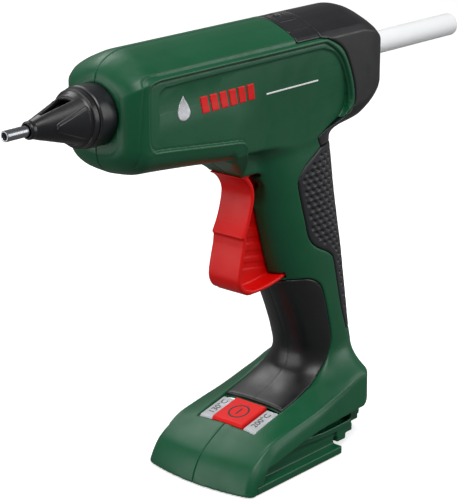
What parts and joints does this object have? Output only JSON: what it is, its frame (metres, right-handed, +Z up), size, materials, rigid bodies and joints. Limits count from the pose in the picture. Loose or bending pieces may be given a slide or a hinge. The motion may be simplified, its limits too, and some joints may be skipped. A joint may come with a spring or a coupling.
{
  "type": "cordless glue gun",
  "caption": "Battery glue gun with a two-shell body, long nozzle, squeeze trigger that feeds the stick, soft grips, power button and rails under the foot for a slide-on pack",
  "frame": {"origin": "middle of the part's bounding box on the plane that the foot's rails rest on", "axes": "+X forward, out of the nozzle and along the barrel's axis; +Y to the tool's left; +Z up"},
  "size_m": [0.2992, 0.0634, 0.2077],
  "materials": {
    "green_shell": "fine satin texture",
    "black_plastic": "satin",
    "soft_grip": "matt",
    "red_plastic": "semi-gloss",
    "clear_window": "clear moulded",
    "steel": "turned",
    "aluminium": "cast",
    "ceramic": "matt",
    "silicone": "matt",
    "nylon": "satin",
    "board": "lacquered",
    "brass": "stamped",
    "lead": "silicone insulation",
    "glue": "translucent wax"
  },
  "bodies": {
    "housing": {"housing_left": "green_shell", "housing_right": "green_shell", "rear_cover": "black_plastic", "top_band": "black_plastic", "band_inlay": "black_plastic", "nozzle_collar": "black_plastic", "nozzle_cover": "black_plastic", "nozzle": "steel", "melt_chamber": "aluminium", "chamber_mounts": "ceramic", "heater": "ceramic", "heater_clip": "steel", "thermal_sensor": "black_plastic", "inlet_sleeve": "silicone", "sleeve_clamp": "steel", "guide_tube": "black_plastic", "return_spring": "steel", "trigger_pin": "steel", "grip_rear": "soft_grip", "grip_front": "soft_grip", "lens_left": "clear_window", "lens_right": "clear_window", "circuit_board": "board", "power_switch": "black_plastic", "indicator_leds": "clear_window", "heater_leads": "lead", "battery_leads": "lead", "battery_guide": "green_shell", "terminal_block": "black_plastic", "contact_blades": "brass", "housing_screws": "steel"},
    "trigger": {"trigger": "red_plastic"},
    "carriage": {"feed_carriage": "nylon"},
    "jaw": {"clamp_jaw": "steel"},
    "button": {"power_button": "red_plastic"},
    "stick": {"glue_stick": "glue"}
  },
  "joints": [
    {"name": "trigger_hinge", "type": "hinge", "parent": "housing", "child": "trigger", "pos_m": [0.0086, 0, 0.1563], "axis": [0, 1, 0], "range_deg": [0, 14], "stiffness_Nm_per_rad": 1.5, "springref_deg": -14.32},
    {"name": "feed_slide", "type": "slide", "parent": "housing", "child": "carriage", "axis": [1, 0, 0], "range_m": [0, 0.00663], "deforming": ["return_spring"]},
    {"name": "jaw_tilt", "type": "hinge", "parent": "carriage", "child": "jaw", "pos_m": [0.00278, 0, 0.1705], "axis": [0, -1, 0], "range_deg": [0, 4.2]},
    {"name": "button_press", "type": "slide", "parent": "housing", "child": "button", "axis": [0, 0, -1], "range_m": [0, 0.00035], "stiffness_N_per_m": 800, "springref_m": -0.0004},
    {"name": "stick_feed", "type": "slide", "parent": "housing", "child": "stick", "axis": [1, 0, 0], "range_m": [-0.122, 0.02]}
  ],
  "couplings": [
    {"joint": "feed_slide", "follows": "trigger_hinge", "m_per_rad": 0.027135},
    {"joint": "jaw_tilt", "follows": "trigger_hinge", "ratio": 0.3}
  ]
}
